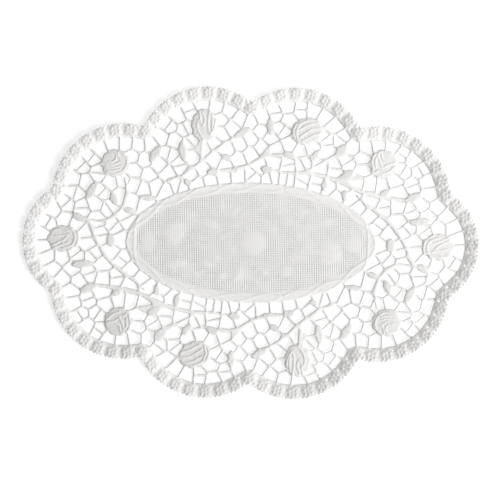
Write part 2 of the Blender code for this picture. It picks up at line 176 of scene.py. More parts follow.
# The folded edges of each rose's petals, as routes from the middle of the rose
END_ROSE = [
    [(4.8, 8.2), (9.0, 4.8), (9.9, 0.0), (7.5, -5.4), (1.8, -8.2)],
    [(3.9, 7.6), (6.6, 4.2), (7.4, 0.0), (5.1, -4.2), (-0.6, -6.2)],
    [(-6.6, 6.0), (-1.8, 6.4), (3.2, 5.2)],
    [(-5.6, 1.6), (-1.2, 2.2), (4.2, 3.3)],
    [(-8.4, -5.0), (-4.2, -2.7), (-0.6, -0.9), (2.4, 1.6)],
    [(-7.2, -6.4), (-2.4, -4.4), (3.4, -2.4)],
]
BOWL_ROSE = [
    [(-4.2, 8.3), (-0.8, 7.4), (0.6, 4.4), (-1.3, 1.1), (-4.9, 0.9)],
    [(1.6, 8.0), (1.9, 4.8), (3.8, 1.4)],
    [(3.0, 7.8), (6.9, 4.4), (7.6, -0.6), (4.8, -5.0), (-0.4, -7.0), (-5.4, -5.6)],
    [(-7.0, 0.4), (-3.0, -1.0), (0.0, -0.6), (2.6, 0.9)],
    [(-6.4, -2.4), (-1.8, -3.0), (3.4, -2.0)],
    [(-4.6, -4.8), (-0.6, -4.9), (3.8, -3.8)],
]
BULB_ROSE = [
    [(-3.8, 9.8), (-3.0, 5.6), (-4.9, 0.6), (-3.8, -4.4), (-0.6, -9.0)],
    [(-1.4, 8.2), (0.2, 3.8), (-0.8, -0.4)],
    [(-2.7, 5.2), (-2.6, 2.0), (-0.8, -0.4)],
    [(3.4, 10.0), (2.6, 5.4), (2.4, 0.0), (3.0, -4.6)],
    [(4.7, 7.8), (5.4, 3.0), (5.0, -2.2)],
    [(6.6, 8.0), (7.2, 3.4), (6.2, -2.0), (3.8, -6.0)],
]
FLAME_ROSE = [
    [(-5.4, 6.6), (-8.9, 2.6), (-9.4, -2.6)],
    [(-4.3, 5.0), (-7.1, 1.5), (-7.8, -3.6)],
    [(-5.0, 5.4), (-0.5, 6.6), (4.0, 6.5), (7.6, 5.4)],
    [(-4.7, 2.4), (2.5, 3.9), (8.8, 3.1)],
    [(-5.6, -2.2), (-0.8, -0.7), (3.8, 0.2), (9.6, -0.7)],
    [(-4.9, -5.4), (1.7, -4.2), (7.9, -3.9)],
]
SWIRL_ROSE = [
    [(-6.8, -4.0), (-7.7, 2.0), (-5.6, 6.4), (-1.6, 8.4)],
    [(-5.0, -2.0), (-5.3, 2.8), (-3.2, 6.4)],
    [(-3.4, 5.8), (-2.4, 1.8), (-0.6, -2.4)],
    [(-1.4, 6.8), (-0.4, 3.2), (2.2, 1.2)],
    [(-0.4, -2.6), (3.2, -0.2), (8.2, 1.0)],
    [(-0.6, -6.6), (4.2, -4.6), (7.8, -1.4)],
    [(-5.2, -5.2), (-2.6, -3.8), (0.6, -4.6)],
]

# The motifs of one half. Places are from the middle of the oval; turns are in degrees from +X.
Rose = namedtuple("Rose", "x y width height turn folds")
ROSES = [
    Rose(-125.2, 1.2, 22.5, 18.3, 0, END_ROSE),
    Rose(-91.2, 52.1, 20.2, 18.8, 0, BOWL_ROSE),
    Rose(-32.1, 78.0, 18.0, 23.0, 0, BULB_ROSE),
    Rose(36.5, 75.1, 22.8, 18.3, 18, FLAME_ROSE),
    Rose(87.7, 53.6, 20.2, 19.8, 0, SWIRL_ROSE),
]

Leaf = namedtuple("Leaf", "x y length width turn")
LEAVES = [
    Leaf(-106.8, 33.6, 14.0, 6.4, 60),
    Leaf(-115.4, 15.8, 9.0, 5.2, 150),
    Leaf(-91.7, 28.3, 9.5, 5.4, 115),
    Leaf(-81.6, 20.7, 8.0, 4.4, 165),
    Leaf(-93.5, 0.5, 9.5, 6.4, 95),
    Leaf(-64.6, 58.8, 13.0, 6.6, 57),
    Leaf(-46.3, 60.7, 14.0, 6.0, 100),
    Leaf(-69.2, 29.3, 12.0, 4.2, 176),
    Leaf(-42.7, 39.6, 6.5, 4.2, 150),
    Leaf(-26.1, 47.1, 8.5, 5.0, 175),
    Leaf(-6.7, 73.5, 13.0, 5.6, 30),
    Leaf(12.1, 78.1, 12.5, 5.4, 92),
    Leaf(-16.5, 56.7, 8.0, 4.4, 155),
    Leaf(-10.9, 48.4, 5.5, 3.6, 0),
    Leaf(25.1, 58.9, 9.0, 5.2, 165),
    Leaf(10.2, 49.3, 9.5, 5.4, 170),
    Leaf(42.1, 58.5, 10.0, 5.2, 55),
    Leaf(59.8, 62.1, 11.5, 7.4, 50),
    Leaf(63.9, 46.6, 10.5, 5.4, 25),
    Leaf(49.0, 39.2, 9.0, 4.8, 85),
    Leaf(62.4, 32.2, 8.0, 4.4, 95),
    Leaf(89.1, 34.6, 7.5, 4.4, 20),
    Leaf(108.1, 31.5, 13.0, 6.2, 25),
    Leaf(112.8, 15.5, 15.0, 5.6, 5),
]

Stem = namedtuple("Stem", "width route")
STEMS = [
    Stem(3.0, [(-57, 41), (-47, 43.5), (-38.9, 49.7), (-30, 56.5), (-24, 62.5), (-12, 70)]),
    Stem(2.2, [(-35.5, 52), (-33.5, 59), (-32.5, 68)]),
    Stem(2.6, [(-22, 48), (-8, 50.3), (0.7, 53), (7.5, 57.5), (21, 59.6)]),
    Stem(2.0, [(5, 56), (10.6, 64), (26, 71.5)]),
    Stem(3.2, [(22, 46.6), (38.3, 47), (50.6, 44.4), (63.4, 40), (75.7, 34), (92, 30.5), (103, 30)]),
    Stem(1.9, [(36, 48.5), (46, 53.5), (55.5, 60)]),
    Stem(2.0, [(59, 45), (68, 42.5), (79.5, 46)]),
    Stem(2.4, [(70, 33), (79.5, 24.5), (91, 16.5), (99, 6.5), (106, -7), (109, -16)]),
    Stem(2.4, [(-84.8, 43), (-83.3, 31), (-87.5, 20.5), (-98.5, 13), (-112, 15)]),
]

# Where the sheet stands off what it lies on
Rise = namedtuple("Rise", "x y reach height")
RISES = [
    Rise(-98, 38, 27, 2.0),
    Rise(-38, 66, 24, 2.0),
    Rise(35, -68, 24, 2.4),
    Rise(98, -45, 26, 2.2),
    Rise(30, 64, 22, 2.0),
    Rise(-70, -54, 24, 2.2),
    Rise(112, 20, 22, 1.8),
    Rise(78, 52, 22, 1.8),
    Rise(-18, -72, 22, 1.8),
    Rise(-112, -14, 20, 1.2),
]

# What the sheets that this one was stacked with have printed into the linen of the oval
Print = namedtuple("Print", "x y length width turn height")
PRINTS = [
    Print(-52.0, 6.0, 15.0, 14.5, 0, 0.4),
    Print(0.8, 0.0, 17.0, 16.5, 0, 0.4),
    Print(52.5, -6.0, 16.5, 16.0, 0, 0.4),
    Print(-69.2, 0.0, 15.0, 9.0, 90, 0.15),
    Print(68.2, 0.0, 12.5, 11.0, 0, 0.15),
    Print(-28.0, 12.7, 11.0, 6.6, -10, 0.25),
    Print(-11.5, 20.7, 7.5, 5.0, 55, 0.2),
    Print(-18.0, 4.0, 8.5, 3.2, 20, 0.2),
    Print(-49.5, -14.3, 14.0, 6.0, 5, 0.25),
    Print(-30.0, -13.5, 7.0, 4.4, -20, 0.2),
    Print(-35.0, -21.4, 7.5, 3.6, 35, 0.2),
    Print(-19.8, -23.0, 8.0, 4.0, 55, 0.25),
    Print(-9.2, -22.8, 7.5, 4.6, 50, 0.2),
    Print(9.4, -19.0, 7.5, 3.8, 60, 0.25),
    Print(23.4, -18.8, 8.5, 7.0, 20, 0.25),
    Print(14.5, 9.1, 5.0, 3.2, -30, 0.2),
    Print(31.6, 4.5, 5.0, 4.4, 90, 0.2),
    Print(34.4, 20.3, 8.5, 3.8, 30, 0.2),
    Print(49.8, 14.4, 12.5, 4.8, 12, 0.25),
    Print(8.2, 24.3, 5.5, 3.6, 60, 0.2),
]
CREASES = [
    Stem(0.9, [(16, -9), (23, -7.5), (29, -3.5)]),
    Stem(0.9, [(-24, -21), (-14, -18.5), (-4, -19.5), (6, -17)]),
    Stem(0.8, [(-8, 3), (-12, 5.5), (-17, 4)]),
    Stem(0.8, [(-44, -4), (-48, -8), (-46, -12)]),
    Stem(0.8, [(30, 16), (36, 18.5), (44, 19)]),
]


def turned(degrees):
    """The unit step at an angle, anticlockwise from +X."""
    return cmath.rect(1, math.radians(degrees))


def smooth_step(share):
    """0 below 0 and 1 above 1, with a soft start and end."""
    share = np.clip(share, 0, 1)
    return share * share * (3 - 2 * share)


def round_top(away):
    """1 in the middle and 0 from 1 on, round like half a ball."""
    return np.sqrt(np.clip(1 - away ** 2, 0, 1))


# ---- the outline ----------------------------------------------------------------------------

Lobe = namedtuple("Lobe", "centre radius first sweep")


def lobe_between(start, end, bulge):
    """The arc that runs anticlockwise from start to end and bulges out from its chord."""
    half = abs(end - start) / 2
    radius = (half ** 2 + bulge ** 2) / (2 * bulge)
    outward = (end - start) / abs(end - start) * -1j
    centre = (start + end) / 2 + outward * (bulge - radius)
    return Lobe(centre, radius, cmath.phase(start - centre), 2 * math.asin(half / radius))


def on_lobe(lobe, share, inset=0.0):
    """The point a share of the way along a lobe, inset from its arc."""
    return lobe.centre + cmath.rect(lobe.radius - inset, lobe.first + share * lobe.sweep)


def ring_of_lobes():
    """The ten lobes, anticlockwise from the right-hand end."""
    half = [END_NOTCH.conjugate(), END_NOTCH, CORNER_NOTCH, TOP_NOTCH, -CORNER_NOTCH.conjugate()]
    notches = half + [-notch for notch in half]
    bulges = [END_BULGE, CORNER_BULGE, TOP_BULGE, TOP_BULGE, CORNER_BULGE] * 2
    return [lobe_between(a, b, bulge) for a, b, bulge in zip(notches, notches[1:] + notches[:1], bulges)]


def beaded_outline(lobes):
    """The cut edge, a round picot after another, with deeper valleys between florets."""
    points_a_floret = PICOTS_A_FLORET * POINTS_A_PICOT
    first = FIRST_FLORET - FLORET_STEP / 2
    edge = []
    for lobe in lobes:
        edge += [on_lobe(lobe, 0), on_lobe(lobe, first / 3), on_lobe(lobe, first * 2 / 3)]
        for step in range(FLORETS_A_LOBE * points_a_floret + 1):
            florets = step / points_a_floret
            picot_valley = 1 - abs(math.sin(math.pi * PICOTS_A_FLORET * florets))
            floret_valley = 1 - abs(math.sin(math.pi * florets))
            depth = picot_valley ** PICOT_SHARPNESS + floret_valley ** FLORET_SHARPNESS
            edge.append(on_lobe(lobe, first + florets * FLORET_STEP, PICOT_DEPTH * depth / 2))
        edge += [on_lobe(lobe, 1 - first * 2 / 3), on_lobe(lobe, 1 - first / 3)]
    return np.array(edge)


# ---- the cut edges --------------------------------------------------------------------------


def area(loop):
    """The area inside a closed outline, positive if it runs anticlockwise."""
    return sum((a.conjugate() * b).imag for a, b in zip(loop, loop[1:] + loop[:1])) / 2


def closed_loops(following):
    """The closed loops in a map from each corner to the next. The map is empty afterwards."""
    loops = []
    while following:
        here = next(iter(following))
        loop = []
        while here in following:
            loop.append(here)
            here = following.pop(here)
        loops.append(loop)
    return loops


def solid_holes(node):
    """The outlines of the holes through a flat node, anticlockwise, in millimetres."""
    sheet = bmesh.new()
    sheet.from_mesh(node.data)
    bmesh.ops.remove_doubles(sheet, verts=sheet.verts, dist=WELD_GAP)
    not_underside = [face for face in sheet.faces if face.normal.z > FACING_DOWN]
    bmesh.ops.delete(sheet, geom=not_underside, context="FACES")
    following = {}
    for edge in sheet.edges:
        if edge.is_boundary:
            corner = edge.link_loops[0]
            following[corner.vert] = corner.link_loop_next.vert
    loops = [[complex(vert.co.x, vert.co.y) / MM for vert in loop] for loop in closed_loops(following)]
    sheet.free()
    anticlockwise = [loop if area(loop) > 0 else loop[::-1] for loop in loops]
    return sorted(anticlockwise, key=area)[:-1]


def cut_back(loop, middle, away):
    """The part of an outline that stays half a bar short of a line through middle, square to away."""
    kept = []
    for start, end in zip(loop, loop[1:] + loop[:1]):
        over_start = ((start - middle) * away.conjugate()).real + HALF_BAR
        over_end = ((end - middle) * away.conjugate()).real + HALF_BAR
        if over_start <= 0:
            kept.append(start)
        if over_start * over_end < 0:
            kept.append(start + (end - start) * over_start / (over_start - over_end))
    return kept


def with_finer_bars(holes):
    """The holes, each of the largest as two with a bar across its length."""
    result = []
    for hole in holes:
        if area(hole) < SPLIT_AREA:
            result.append(hole)
            continue
        edge = even_ring(hole, HOLE_TRACE)
        middle = edge.mean()
        along = cmath.rect(1, cmath.phase(((edge - middle) ** 2).mean()) / 2)
        result += [cut_back(hole, middle, along), cut_back(hole, middle, -along)]
    return result


def scallops(own):
    """How deep points around a rose lie in the valleys between its petals, 0 to 1."""
    return (1 - np.abs(np.sin(ROSE_SCALLOPS / 2 * np.angle(own)))) ** 2


def motif_edges():
    """The scalloped outlines of the roses, and the pointed ones of the leaves."""
    edges = []
    for rose in both_halves(ROSES):
        angles = TURN * np.arange(ROSE_EDGE_POINTS) / ROSE_EDGE_POINTS
        own = rose.width / 2 * np.cos(angles) + 1j * rose.height / 2 * np.sin(angles)
        own /= 1 + SCALLOP_DEPTH * scallops(own)
        edges.append(own * turned(rose.turn) + complex(rose.x, rose.y))
    for leaf in both_halves(LEAVES):
        angles = TURN * np.arange(LEAF_EDGE_POINTS) / LEAF_EDGE_POINTS
        side = np.sign(np.sin(angles)) * np.abs(np.sin(angles)) ** LEAF_SHARPNESS
        own = leaf.length / 2 * np.cos(angles) + 1j * leaf.width / 2 * side
        edges.append(own * turned(leaf.turn) + complex(leaf.x, leaf.y))
    return edges


def triangulated(loops, loose):
    """A mesh over outlines and loose points: its points, its triangles, and the outlines round each."""
    vectors = [Vector((point.real, point.imag)) for point in np.concatenate(loops + [loose])]
    faces, first = [], 0
    for loop in loops:
        faces.append(list(range(first, first + len(loop))))
        first += len(loop)
    places, _, triangles, _, _, owners = delaunay_2d_cdt(vectors, [], faces, 1, JOIN_GAP, True)
    return [complex(*place) for place in places], triangles, owners


def outside_motifs(holes):
    """What roses and leaves leave open of the holes, as outlines."""
    points, triangles, owners = triangulated(holes + motif_edges(), [])
    sides = set()
    for corners, around in zip(triangles, owners):
        if around and max(around) < len(holes):
            sides.update(zip(corners, corners[1:] + corners[:1]))
    following = {start: end for start, end in sides if (end, start) not in sides}
    parts = [[points[number] for number in loop] for loop in closed_loops(following)]
    return [part for part in parts if area(part) > SMALLEST_HOLE]


def even_ring(loop, pitch):
    """Points evenly spaced along a closed line."""
    line = np.array(list(loop) + [loop[0]])
    reached = np.concatenate([[0], np.cumsum(np.abs(np.diff(line)))])
    count = round(reached[-1] / pitch)
    wanted = np.arange(count) * reached[-1] / count
    return np.interp(wanted, reached, line.real) + 1j * np.interp(wanted, reached, line.imag)


def pinholes(lobes):
    """Small holes between neighbouring florets, on the inner side of the braid."""
    corners = np.exp(1j * TURN * np.arange(PINHOLE_POINTS) / PINHOLE_POINTS)
    shares = [FIRST_FLORET + (number - 0.5) * FLORET_STEP for number in range(FLORETS_A_LOBE + 1)]
    return [on_lobe(lobe, share, PINHOLE_INSET) + PINHOLE_RADIUS * corners
            for lobe in lobes for share in shares]


def side_steps(loop, inwards):
    """Unit steps from each point of an anticlockwise outline, to its inside or its outside."""
    ahead = np.roll(loop, -1) - np.roll(loop, 1)
    return ahead / np.abs(ahead) * (1j if inwards else -1j)


# ---- the relief -----------------------------------------------------------------------------


def both_halves(motifs):
    """A half's motifs and their twins after half a turn."""
    twins = [motif._replace(x=-motif.x, y=-motif.y, turn=motif.turn + 180) for motif in motifs]
    return motifs + twins


def in_own_frame(motif, points):
    """Points as seen from a motif: its own middle at 0, its own axis along +X."""
    return (points - complex(motif.x, motif.y)) * turned(-motif.turn)


def oval_inset(points, inset=0.0):
    """How far points lie inside the oval, less an inset, in about millimetres."""
    half_length, half_width = OVAL_LENGTH / 2 - inset, OVAL_WIDTH / 2 - inset
    scaled = np.hypot(points.real / half_length, points.imag / half_width)
    gradient = np.hypot(points.real / half_length ** 2, points.imag / half_width ** 2)
    return (1 - scaled) / np.maximum(gradient / np.maximum(scaled, TINY), TINY)


def floret_places(lobes):
    """The middle of each floret, and the unit step outwards there."""
    places = []
    for lobe, following in zip(lobes, lobes[1:] + lobes[:1]):
        for number in range(FLORETS_A_LOBE):
            middle = on_lobe(lobe, FIRST_FLORET + number * FLORET_STEP, FLORET_INSET)
            places.append((middle, (middle - lobe.centre) / abs(middle - lobe.centre)))
        notch = on_lobe(lobe, 1)
        outward = (notch - lobe.centre) / lobe.radius + (notch - following.centre) / following.radius
        outward /= abs(outward)
        places.append((notch - NOTCH_FLORET_INSET * outward, outward))
    return places


def floret_relief(places, points):
    """Seven petals on a low cushion, with beads round them, for each floret."""
    ring = [PETAL_RING * turned(angle) for angle in range(0, 360, 60)]
    mounds = [(petal, PETAL_SIZE / 2, PETAL_HEIGHT) for petal in [0] + ring]
    mounds += [(complex(bead.x, bead.y), bead.size / 2, bead.height) for bead in FLORET_BEADS]
    height = np.zeros(len(points))
    for middle, outward in places:
        near = np.flatnonzero(np.abs(points - middle) < FLORET_FIELD)
        own = (points[near] - middle) / outward
        cushion = CUSHION_HEIGHT * round_top((np.abs(own.imag) / HALF_CUSHION) ** CUSHION_FLATNESS)
        cushion *= smooth_step((own.real + HALF_CUSHION) / CUSHION_SLOPE)
        petals = [lift * round_top(np.abs(own - centre) / reach) for centre, reach, lift in mounds]
        height[near] = np.maximum(height[near], cushion + np.max(petals, axis=0))
    return height


def fold_lines(rose, pitch):
    """The folds of a rose on the plane, each as a smooth line."""
    return [np.array(smooth_line(fold, pitch)) * turned(rose.turn) + complex(rose.x, rose.y)
            for fold in rose.folds]


def rose_relief(points):
    """Low scalloped domes with flat tops, and the folded edges of the petals on them."""
    height = np.zeros(len(points))
    for rose in both_halves(ROSES):
        own = in_own_frame(rose, points)
        away = np.hypot(own.real / (rose.width / 2), own.imag / (rose.height / 2))
        away *= 1 + SCALLOP_DEPTH * scallops(own)
        near = away < ROSE_FIELD
        _, gap = nearest(tree_of(np.concatenate(fold_lines(rose, FOLD_TRACE))), points[near])
        dome = ROSE_DOME * round_top(away[near] ** 2)
        height[near] = dome + FOLD_HEIGHT * round_top(gap / FOLD_REACH)
    return height


def leaf_relief(points):
    """Plump pointed leaves with a shallow midrib."""
    height = np.zeros(len(points))
    for leaf in both_halves(LEAVES):
        own = in_own_frame(leaf, points)
        near = np.abs(own.real) < leaf.length / 2
        own = own[near]
        along = own.real / (leaf.length / 2)
        half_width = leaf.width / 2 * (1 - along ** 2) ** LEAF_FULLNESS + LEAF_MARGIN
        top = round_top((np.abs(own.imag) / half_width) ** LEAF_FLATNESS)
        plump = LEAF_HEIGHT * top * (1 - along ** 4)
        midrib = MIDRIB_DEPTH * np.exp(-(own.imag / MIDRIB_REACH) ** 2) * (1 - along ** 2)
        height[near] = np.maximum(height[near], plump - midrib)
    return height


def embossed(places, points):
    """How much each point belongs to a rose, a leaf or a floret, 0 to 1."""
    share = np.clip(np.maximum(rose_relief(points), leaf_relief(points)) / EMBOSSED_FROM, 0, 1)
    for middle, _ in places:
        away = np.abs(points - middle)
        near = away < FLORET_REACH
        floret = 1 - smooth_step((away[near] - FLORET_CORE) / (FLORET_REACH - FLORET_CORE))
        share[near] = np.maximum(share[near], floret)
    return share


def smooth_line(route, pitch):
    """A smooth curve through a route, with a point at about every pitch."""
    route = [complex(*place) for place in route]
    route = [2 * route[0] - route[1]] + route + [2 * route[-1] - route[-2]]
    line = []
    for before, start, end, after in zip(route, route[1:], route[2:], route[3:]):
        count = max(1, round(abs(end - start) / pitch))
        for t in [step / count for step in range(count)]:
            bend = 2 * before - 5 * start + 4 * end - after
            twist = 3 * start - before - 3 * end + after
            line.append(start + (end - before) * t / 2 + bend * t ** 2 / 2 + twist * t ** 3 / 2)
    return line + [route[-2]]


def tree_of(points):
    """A search tree for the nearest of some points."""
    tree = kdtree.KDTree(len(points))
    for number, point in enumerate(points):
        tree.insert((point.real, point.imag, 0), number)
    tree.balance()
    return tree


def nearest(tree, points):
    """The number of the nearest point in a tree, and its distance, for each of some points."""
    found = [tree.find((point.real, point.imag, 0)) for point in points]
    return np.array([number for _, number, _ in found]), np.array([gap for _, _, gap in found])


def ridges(stems, height, points):
    """A rounded ridge along each of some stems."""
    line, widths = [], []
    for stem in stems:
        places = smooth_line(stem.route, STEM_TRACE)
        line += places
        widths += [stem.width] * len(places)
    number, gap = nearest(tree_of(line), points)
    return height * round_top(gap / (np.array(widths)[number] / 2 + STEM_MARGIN))


def all_stems():
    """The stems and their twins after half a turn."""
    return STEMS + [stem._replace(route=[(-x, -y) for x, y in stem.route]) for stem in STEMS]


def border_middle(pitch):
    """The closed line along the middle of the oval's border."""
    angles = TURN * np.arange(OVAL_POINTS) / OVAL_POINTS
    half_length = OVAL_LENGTH / 2 - BORDER_WIDTH / 2
    half_width = OVAL_WIDTH / 2 - BORDER_WIDTH / 2
    return even_ring(half_length * np.cos(angles) + 1j * half_width * np.sin(angles), pitch)


def cord_lines(pitch):
    """The two cords that cross round the oval, as closed lines."""
    middle = border_middle(pitch)
    swing = CORD_SWING * np.cos(math.pi * BORDER_LENSES * np.arange(len(middle)) / len(middle))
    inward = side_steps(middle, True)
    return [middle + inward * swing, middle - inward * swing]


def border_relief(points):
    """Two thin crossing cords, with plump lenses between them."""
    height = np.zeros(len(points))
    near = np.abs(oval_inset(points, BORDER_WIDTH / 2)) < 2 * BORDER_WIDTH
    middle = border_middle(CORD_TRACE)
    number, _ = nearest(tree_of(middle), points[near])
    swing = CORD_SWING * np.abs(np.cos(math.pi * BORDER_LENSES * number / len(middle)))
    across = np.abs(points[near] - middle[number])
    gap = np.minimum(*[nearest(tree_of(cord), points[near])[1] for cord in cord_lines(CORD_TRACE)])
    lens = LENS_HEIGHT * round_top(across / np.maximum(swing, LEAST_SWING)) * swing / CORD_SWING
    height[near] = CORD_HEIGHT * round_top(gap / CORD_RADIUS) + lens
    return height


def rise(points):
    """How far the sheet stands off what it lies on."""
    height = np.zeros(len(points))
    for place in RISES:
        away = np.abs(points - complex(place.x, place.y)) / place.reach
        height += place.height * np.exp(-away ** 2)
    return height


def printed(points):
    """The height of the prints in the linen, and how much each point is pressed flat, 0 to 1."""
    height = np.zeros(len(points))
    flatness = np.zeros(len(points))
    for mark in PRINTS:
        own = in_own_frame(mark, points)
        away = np.hypot(own.real / (mark.length / 2), own.imag / (mark.width / 2))
        height = np.maximum(height, mark.height * round_top(away))
        flatness = np.maximum(flatness, 1 - smooth_step((away - FLAT_SHARE) / FLAT_FADE))
    return height, flatness


def relief(places, points):
    """The height of the sheet's pattern over points, away from cut edges."""
    height = np.maximum(floret_relief(places, points), rose_relief(points))
    height = np.maximum(height, leaf_relief(points))
    height = np.maximum(height, ridges(all_stems(), STEM_HEIGHT, points))
    off_oval = 1 - smooth_step(oval_inset(points) / OVAL_FADE)
    return height * off_oval


def field_relief(points):
    """The height of the oval's pattern over points."""
    return border_relief(points) + printed(points)[0] + ridges(CREASES, CREASE_HEIGHT, points)


# ---- the sheet ------------------------------------------------------------------------------


def hex_grid(pitch):
    """Points on a grid of equal triangles that covers the doily."""
    rows = np.arange(-GRID_REACH_Y, GRID_REACH_Y, pitch * math.sqrt(0.75))
    columns = np.arange(-GRID_REACH_X, GRID_REACH_X, pitch)
    shift = (np.arange(len(rows)) % 2)[:, None] * pitch / 2
    return (columns[None, :] + shift + 1j * rows[:, None]).ravel()


def thinned(points, gap):
    """Points without those that are nearer than a gap to one before them."""
    tree = tree_of(points)
    kept = np.ones(len(points), bool)
    for number, point in enumerate(points):
        if kept[number]:
            for _, other, _ in tree.find_range((point.real, point.imag, 0), gap):
                if other > number:
                    kept[other] = False
    return points[kept]


def crests(edge, into, tree):
    """The middles of the bars, and a line as far in from every other cut edge."""
    middle = edge + into * HALF_BAR
    _, gap = nearest(tree, middle)
    return list(thinned(middle[gap > CREST_CLEARANCE], CREST_PITCH))


def braid_points(lobes):
    """A lattice over each floret, with points on its petals and in the pits between them."""
    steps = range(-LATTICE_STEPS, LATTICE_STEPS + 1)
    lattice = [LATTICE_PITCH * (column + row * turned(60)) for row in steps for column in steps]
    lattice = [point for point in lattice
               if abs(point.real) < LATTICE_REACH and abs(point.imag) < HALF_CUSHION]
    return [middle + point * outward for middle, outward in floret_places(lobes) for point in lattice]


def with_sides(line, reach):
    """A line, and a line at a reach on either side of it."""
    ahead = np.gradient(line)
    side = ahead / np.abs(ahead) * 1j * reach
    return list(line) + list(line + side) + list(line - side)


def feature_points():
    """Points along the cords of the border, the folds of the petals, the midribs and the stems."""
    points = []
    for cord in cord_lines(CORD_PITCH):
        points += with_sides(cord, CORD_RADIUS)
    for rose in both_halves(ROSES):
        for fold in fold_lines(rose, FOLD_PITCH):
            points += with_sides(fold, FOLD_REACH)
    for leaf in both_halves(LEAVES):
        steps = np.arange(*MIDRIB_SPAN, MIDRIB_PITCH / leaf.length)
        points += [complex(leaf.x, leaf.y) + leaf.length * step * turned(leaf.turn) for step in steps]
    for stem in all_stems() + CREASES:
        points += smooth_line(stem.route, STEM_PITCH)
    return points


def sheet_points(cuts, normals, lobes):
    """Points between the cut edges: rows along what shows, then grids where those leave room."""
    edge, into = np.concatenate(cuts), np.concatenate(normals)
    tree = tree_of(edge)

    def clear(points, gap_wanted):
        """Those of some points that are on the sheet and clear of its cut edges."""
        number, gap = nearest(tree, points)
        side = ((points - edge[number]) * into[number].conj()).real
        return points[(gap > gap_wanted) & (side > 0)]

    rows = np.array(crests(edge, into, tree) + feature_points() + braid_points(lobes))
    rows = thinned(clear(rows, ROW_CLEARANCE), ROW_GAP)
    fine = clear(hex_grid(FINE_PITCH), HALF_BAR + GRID_CLEARANCE)
    border = hex_grid(BORDER_PITCH)
    field = hex_grid(FIELD_PITCH)
    fine = fine[oval_inset(fine) < 0]
    border = border[(oval_inset(border) > 0) & (oval_inset(border) < BORDER_WIDTH + BORDER_SPILL)]
    field = field[oval_inset(field) > BORDER_WIDTH + FIELD_MARGIN]
    row_tree = tree_of(rows)
    grids = [(fine, FINE_PITCH), (clear(border, HALF_BAR), BORDER_PITCH), (field, FIELD_PITCH)]
    with_room = [grid[nearest(row_tree, grid)[1] > GRID_ROOM * pitch] for grid, pitch in grids]
    return np.concatenate([rows] + with_room)


def face_up(data):
    """Drops a mesh's points that have no face, turns its faces up and shades them smooth."""
    sheet = bmesh.new()
    sheet.from_mesh(data)
    bmesh.ops.delete(sheet, geom=[vert for vert in sheet.verts if not vert.link_faces], context="VERTS")
    bmesh.ops.recalc_face_normals(sheet, faces=sheet.faces)
    if sheet.faces[0].normal.z < 0:
        bmesh.ops.reverse_faces(sheet, faces=sheet.faces)
    for face in sheet.faces:
        face.smooth = True
    sheet.to_mesh(data)
    sheet.free()


def doily_mesh():
    """The sheet as a single layer of small triangles, raised into its relief."""
    lobes = ring_of_lobes()
    outline = beaded_outline(lobes)
    open_parts = outside_motifs(with_finer_bars(solid_holes(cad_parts["doily"])))
    holes = [even_ring(part, CUT_PITCH) for part in open_parts]
    pins = pinholes(lobes)
    cuts = [outline] + holes + pins
    normals = [side_steps(outline, True)] + [side_steps(hole, False) for hole in holes + pins]
    places, triangles, owners = triangulated(cuts, sheet_points(cuts, normals, lobes))
    kept = [triangle for triangle, around in zip(triangles, owners) if list(around) == [0]]
    points = np.array(places)
    hole_tree = tree_of(np.concatenate([even_ring(hole, EDGE_TRACE) for hole in holes]))
    _, hole_gap = nearest(hole_tree, points)
    heights = sheet_heights(points, outline, hole_gap, lobes)
    data = bpy.data.meshes.new("doily_paper")
    coords = [(point.real * MM, point.imag * MM, z * MM) for point, z in zip(points, heights)]
    data.from_pydata(coords, [], kept)
    for_material = {"pressed": printed(points)[1], "from_cut": hole_gap,
                    "embossed": embossed(floret_places(lobes), points)}
    for name, values in for_material.items():
        data.attributes.new(name, "FLOAT", "POINT").data.foreach_set("value", values.astype(np.float32))
    face_up(data)
    return data


def sheet_heights(points, outline, hole_gap, lobes):
    """The height of the sheet's upper face over points."""
    _, outline_gap = nearest(tree_of(outline), points)
    in_braid = 1 - smooth_step((outline_gap - STRAND_INSET + STRAND_BLEND / 2) / STRAND_BLEND)
    level = BAR_HEIGHT + (BRAID_LEVEL - BAR_HEIGHT) * in_braid
    extra = EXTRA_CURL * smooth_step((points / turned(CURLED_SIDE)).real / CURLED_FROM)
    level += CURL_HEIGHT * (1 + extra) * np.clip(1 - outline_gap / CURL_REACH, 0, 1) ** 2
    shoulder = round_top(1 - np.clip(hole_gap / HALF_BAR, 0, 1))
    pattern = relief(floret_places(lobes), points) * smooth_step(hole_gap / MOTIF_FADE)
    return THICKNESS + rise(points) + level * shoulder + pattern + field_relief(points) * shoulder


# ---- materials ------------------------------------------------------------------------------


class Wire:
    """An output socket of a node. Arithmetic on it adds Math nodes."""

    def __init__(self, bench, socket):
        self.bench = bench
        self.socket = socket

    def maths(self, operation, *others):
        return self.bench.node("ShaderNodeMath", {"operation": operation}, dict(enumerate(others)))

    def __add__(self, other):
        return self.maths("ADD", self, other)

    def __sub__(self, other):
        return self.maths("SUBTRACT", self, other)

    def __rsub__(self, other):
        return self.maths("SUBTRACT", other, self)

    def __mul__(self, other):
        return self.maths("MULTIPLY", self, other)

    def __truediv__(self, other):
        return self.maths("DIVIDE", self, other)

    def __pow__(self, other):
        return self.maths("POWER", self, other)

    __radd__ = __add__
    __rmul__ = __mul__

    def cosine(self):
        return self.maths("COSINE", self)

    def between(self, low, high):
        """0 below low and 1 above high, soft at both."""
        return self.bench.node("ShaderNodeMapRange", {"interpolation_type": "SMOOTHSTEP"},
                               {"Value": self, "From Min": low, "From Max": high})


